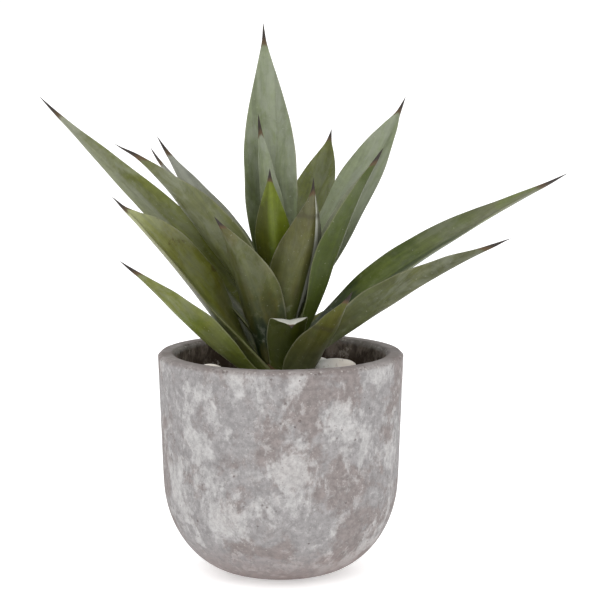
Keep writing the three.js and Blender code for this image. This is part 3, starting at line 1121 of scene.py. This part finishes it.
def build_stem_skin():
    inputs = {"Green": ("Color", colour(96, 98, 62)), "Scar": ("Color", colour(92, 74, 52))}
    tree, given, result = new_group("stem_skin", inputs, LOOK_OUTPUTS)
    place = add(tree, "TexCoord").outputs["Object"]
    rings = cloud(tree, stretched(tree, place, 60, 60, 480), 1.0, 4, 0.6)
    fibres = cloud(tree, stretched(tree, place, 900, 900, 60), 1.0, 3, 0.6)
    skin = blend(tree, fade(tree, rings, 0.45, 0.6), given["Green"], given["Scar"])
    tone = fade(tree, fibres, 0.3, 0.7, 0.8, 1.15)
    skin = scaled(tree, skin, tone)
    tree.links.new(skin, result["Base Color"])
    tree.links.new(fade(tree, rings, 0.3, 0.7, 0.6, 0.85), result["Roughness"])
    tree.links.new(plus(tree, rings, fibres), result["Height"])
    return tree


STEM_SKIN = new_material("stem_skin", build_stem_skin(), {}, 0.5 * MM, 0.8, Specular_IOR_Level=0.3)
finish_piece("aloe_stem", stem, STEM_SKIN, "stem_skin", "stem")

# %% [markdown]
# ## Pebbles
#
# The pebbles are river-worn white quartz: rounded, a little lumpy, and each of a slightly different
# white. Each starts from its CAD solid. A nudge of slow noise makes it lumpy, and a Subdivision Surface
# modifier rounds it off, which is less work than rounding it by hand.

# %% Pebbles and their stone
def build_pebble_stone():
    inputs = {
        "White": ("Color", colour(255, 254, 250)),
        "Cream": ("Color", colour(254, 244, 232)),
        "Grey": ("Color", colour(240, 236, 234)),
    }
    tree, given, result = new_group("pebble_stone", inputs, LOOK_OUTPUTS)
    place = add(tree, "TexCoord").outputs["Object"]
    which = cloud(tree, place, 34.0, 1, 0.3)
    skin = blend(tree, fade(tree, which, 0.42, 0.6), given["White"], given["Cream"])
    clouds = patches(tree, moved(tree, place, 0.3, 0.1, 0.1), 90.0, 0.5, 0.2)
    skin = blend(tree, times(tree, clouds, 0.55), skin, given["Grey"])
    vein = apart(tree, cloud(tree, place, 60.0, 4, 0.6, 1.0), 0.5)
    skin = blend(tree, fade(tree, vein, 0.0, 0.012, 0.35, 0.0), skin, colour(150, 128, 108))
    dust = specks(tree, place, 600.0, 0.25, 0.4)
    skin = blend(tree, times(tree, dust, 0.16), skin, colour(126, 112, 98))
    fine = cloud(tree, place, 500.0, 4, 0.6)
    tree.links.new(skin, result["Base Color"])
    tree.links.new(fade(tree, fine, 0.3, 0.7, 0.4, 0.6), result["Roughness"])
    relief = minus(tree, fine, times(tree, dust, 0.6))
    tree.links.new(relief, result["Height"])
    return tree


PEBBLE = new_material("white_pebble", build_pebble_stone(), {}, 0.3 * MM, 0.5, Specular_IOR_Level=0.5)
LUMP_HEIGHT = 0.7 * MM
PEBBLE_NODES = sorted(name for name in NODES if name.startswith("pebble_"))
for number, name in enumerate(PEBBLE_NODES):
    pebble = merged_copy(name)
    bmesh.ops.recalc_face_normals(pebble, faces=pebble.faces)
    pebble.normal_update()
    for vert in pebble.verts:
        lump = noise.noise(vert.co * 85 + Vector((number * 3.1, 0, 0)))
        vert.co += vert.normal * (lump - 0.25) * LUMP_HEIGHT
    piece = finish_piece("white_" + name, pebble, PEBBLE, "pebble_stone", name)
    rounding = piece.modifiers.new("rounding", "SUBSURF")
    rounding.levels = 2
    rounding.render_levels = 2
print(len(PEBBLE_NODES), "pebbles of", len(piece.data.polygons), "faces before rounding")

# %% [markdown]
# ## Floor and light
#
# A pale floor and a bright, even surrounding give soft studio light. One large lamp above, to the left and
# in front models the leaves a little, and a weaker one fills the other side. The floor also glows a
# little, so that the pot's shadow on it stays light.

# %% Floor, world and lamps
floor_mesh = bmesh.new()
bmesh.ops.create_grid(floor_mesh, x_segments=1, y_segments=1, size=30)
floor_data = bpy.data.meshes.new("floor")
floor_mesh.to_mesh(floor_data)
floor_mesh.free()
floor = bpy.data.objects.new("floor", floor_data)
scene.collection.objects.link(floor)
pale = bpy.data.materials.new("pale_floor")
pale.use_nodes = True
floor_shader = pale.node_tree.nodes["Principled BSDF"].inputs
floor_shader["Base Color"].default_value = (0.95, 0.95, 0.95, 1)
floor_shader["Roughness"].default_value = 0.9
floor_shader["Emission Color"].default_value = (1, 1, 1, 1)
floor_shader["Emission Strength"].default_value = 0.42
floor_data.materials.append(pale)

world = bpy.data.worlds.new("studio")
scene.world = world
world.use_nodes = True
sky = world.node_tree.nodes["Background"].inputs
sky["Color"].default_value = (1, 1, 1, 1)
sky["Strength"].default_value = 1.06


def lamp(name, place, size, power):
    data = bpy.data.lights.new(name, "AREA")
    data.size = size
    data.energy = power
    light = bpy.data.objects.new(name, data)
    light.location = place
    light.rotation_euler = (Vector((0, 0, 0.15)) - light.location).to_track_quat("-Z", "Y").to_euler()
    scene.collection.objects.link(light)


lamp("key_lamp", (-0.35, -1.1, 1.2), 1.2, 6)
lamp("fill_lamp", (0.9, -0.9, 0.7), 1.0, 2)
